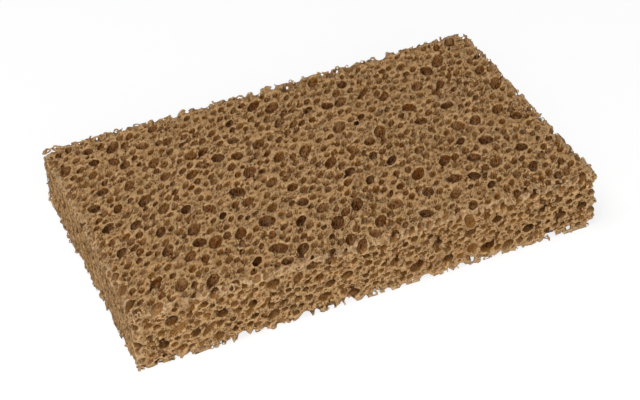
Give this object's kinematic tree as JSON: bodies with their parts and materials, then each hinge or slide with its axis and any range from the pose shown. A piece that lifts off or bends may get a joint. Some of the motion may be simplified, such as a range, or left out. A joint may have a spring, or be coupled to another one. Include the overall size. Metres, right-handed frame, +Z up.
{
  "type": "grout sponge",
  "caption": "Flat rectangular hand sponge of light brown open-cell foam, for washing and wiping grout joints.",
  "frame": {"origin": "middle of the flat underside, which the sponge lies on", "axes": "+X along the length, +Y along the width away from the front long side, +Z up through the thickness"},
  "size_m": [0.18, 0.108, 0.0245],
  "materials": {
    "foam": "matt open-cell foam, light brown"
  },
  "bodies": {
    "root": {"sponge": "foam"}
  },
  "joints": []
}
